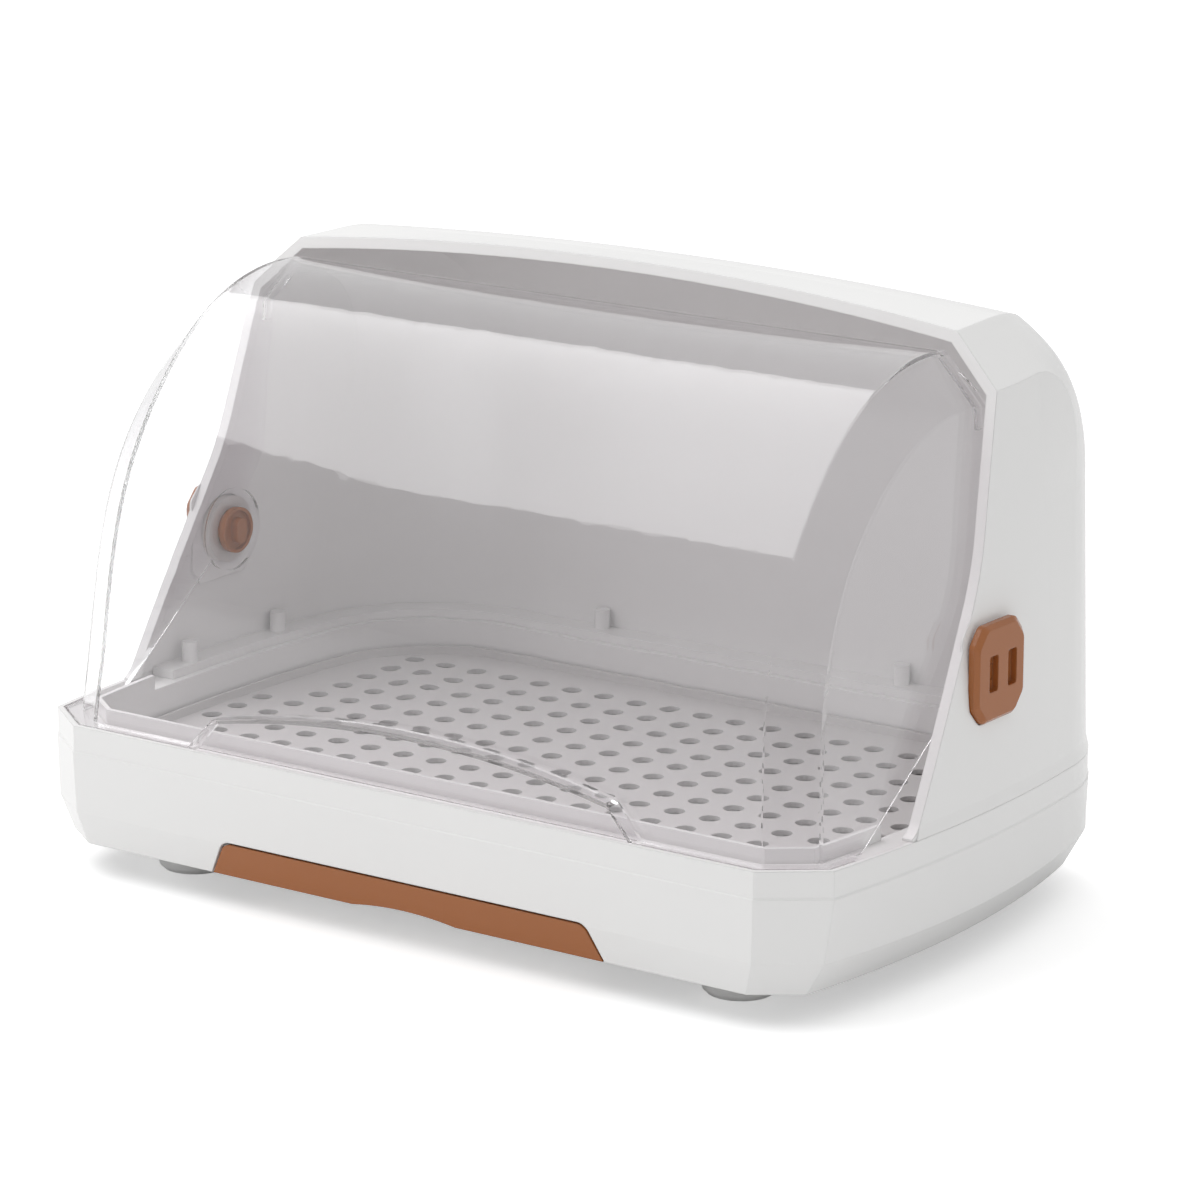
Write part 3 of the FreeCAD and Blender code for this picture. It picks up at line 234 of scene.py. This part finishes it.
screw_steel = plated_steel("screw_steel")
for group in ("foot_screws", "rail_screws", "hood_screws"):
    dress(group, screw_steel)

# Drawer rails and tray. Plain milky plastic, less polished than the outside, screwed under the
# floor of the tub; the tray hangs in the rails by its lips.
MILKY = (0.74, 0.74, 0.735)
milky_plastic = moulded_plastic("milky_plastic", MILKY, roughness=0.42, grain_scale=700.0,
                                grain_depth=0.00004, edge_radius=0.0006)
for node in ("drawer_rail_left", "drawer_rail_right", "drawer_tray"):
    dress(node, milky_plastic)

# Drawer front. A caramel brown panel in satin plastic that follows the wall and bevel of the base
# and clips onto the tray, with a shallow scoop for the fingers in its lower edge.
BROWN = (0.36, 0.120, 0.032)
brown_satin = moulded_plastic("brown_satin", BROWN, roughness=0.24, grain_scale=1100.0,
                              grain_depth=0.00002, edge_radius=0.0008)
dress("drawer_front", brown_satin)

# Rack plate. A perforated plate of white plastic with a matt face, laid on posts in the tub, so
# that water runs through its holes.
# Painted shade: the plate's colour is a darker grey than its white plastic, standing in for the
# shade it lies in under the hood and behind the visor.
PLATE_WHITE_IN_PAINTED_SHADE = (0.66, 0.648, 0.643)
plate_matt = moulded_plastic("plate_matt", PLATE_WHITE_IN_PAINTED_SHADE, roughness=0.40, grain_scale=600.0,
                             grain_depth=0.00005, edge_radius=0.0006)
dress("rack_plate", plate_matt)

# Hood. The shell behind the visor, moulded in the same gloss white as the base, set into the
# ledge of the base and screwed from below.
dress("hood_shell", white_gloss)

# Hinge pieces. Each pin is turned from the brown plastic and goes through the visor's ear, a pale
# washer and the hood's pad into the cap outside, which it grips with two tongues.
NYLON = (0.72, 0.71, 0.68)
washer_nylon = moulded_plastic("washer_nylon", NYLON, roughness=0.38, grain_scale=900.0,
                               grain_depth=0.00003, edge_radius=0.0005)
for side in ("left", "right"):
    dress("hinge_pin_" + side, brown_satin)
    dress("hinge_washer_" + side, washer_nylon)
    dress("hinge_cap_" + side, brown_satin)

# Visor. One clear moulding of acrylic, 2.3 mm thick, with a faint warm grey tint, that turns on
# the two pins. Its face wavers very slightly, and light that has gone round inside it many times
# leaves at the edges, which look bright.
ACRYLIC_BODY = (0.975, 0.970, 0.978, 1)
ACRYLIC_BEND_IOR = 1.18
ACRYLIC_SKIN_IOR = 1.49
ACRYLIC_SKIN_ROUGHNESS = 0.01
ACRYLIC_SMOOTH = 0.008
ACRYLIC_HAZY = 0.03
ACRYLIC_SHADE = (0.925, 0.908, 0.918, 1)
FACE_WAVE_SCALE = 7.0
FACE_WAVE_DETAIL = 1.0
FACE_WAVE_STRENGTH = 0.10
FACE_WAVE_DEPTH = 0.0004
INNER_MIRRORS = 1.5


def clear_acrylic(name):
    """Clear acrylic: a glossy skin and a clear body. Light goes straight through it with a
    faint shade, and so does a view that has been mirrored inside it more than once."""
    finish = bpy.data.materials.new(name)
    finish.use_nodes = True
    tree = finish.node_tree
    base = tree.nodes["Principled BSDF"]
    base.inputs["Base Color"].default_value = ACRYLIC_BODY
    base.inputs["IOR"].default_value = ACRYLIC_BEND_IOR
    base.inputs["Transmission Weight"].default_value = 1.0
    base.inputs["Coat Weight"].default_value = 1.0
    base.inputs["Coat IOR"].default_value = ACRYLIC_SKIN_IOR
    base.inputs["Coat Roughness"].default_value = ACRYLIC_SKIN_ROUGHNESS
    place = shader(tree, "ShaderNodeTexCoord")
    wave = shader(tree, "ShaderNodeTexNoise",
                  {"Scale": FACE_WAVE_SCALE, "Detail": FACE_WAVE_DETAIL})
    gloss = shader(tree, "ShaderNodeMapRange",
                   {"To Min": ACRYLIC_SMOOTH, "To Max": ACRYLIC_HAZY})
    bump = shader(tree, "ShaderNodeBump",
                  {"Strength": FACE_WAVE_STRENGTH, "Distance": FACE_WAVE_DEPTH})
    path = shader(tree, "ShaderNodeLightPath")
    lit = shader(tree, "ShaderNodeMath", operation="MAXIMUM")
    deep = shader(tree, "ShaderNodeMath", {1: INNER_MIRRORS}, operation="GREATER_THAN")
    straight = shader(tree, "ShaderNodeMath", operation="MAXIMUM")
    shade = shader(tree, "ShaderNodeMix", {"A": WHITE_LIGHT, "B": ACRYLIC_SHADE},
                   data_type="RGBA")
    through = shader(tree, "ShaderNodeBsdfTransparent")
    body = shader(tree, "ShaderNodeMixShader")
    link(place, "Object", wave, "Vector")
    link(wave, "Fac", gloss, "Value")
    link(gloss, "Result", base, "Roughness")
    link(wave, "Fac", bump, "Height")
    link(bump, "Normal", base, "Normal")
    link(path, "Is Shadow Ray", lit, 0)
    link(path, "Is Diffuse Ray", lit, 1)
    link(path, "Glossy Depth", deep, 0)
    link(lit, 0, shade, "Factor")
    link(shade, "Result", through, "Color")
    link(lit, 0, straight, 0)
    link(deep, 0, straight, 1)
    link(straight, 0, body, 0)
    link(base, 0, body, 1)
    link(through, 0, body, 2)
    link(body, 0, tree.nodes["Material Output"], "Surface")
    return finish


dress("visor", clear_acrylic("clear_acrylic"))
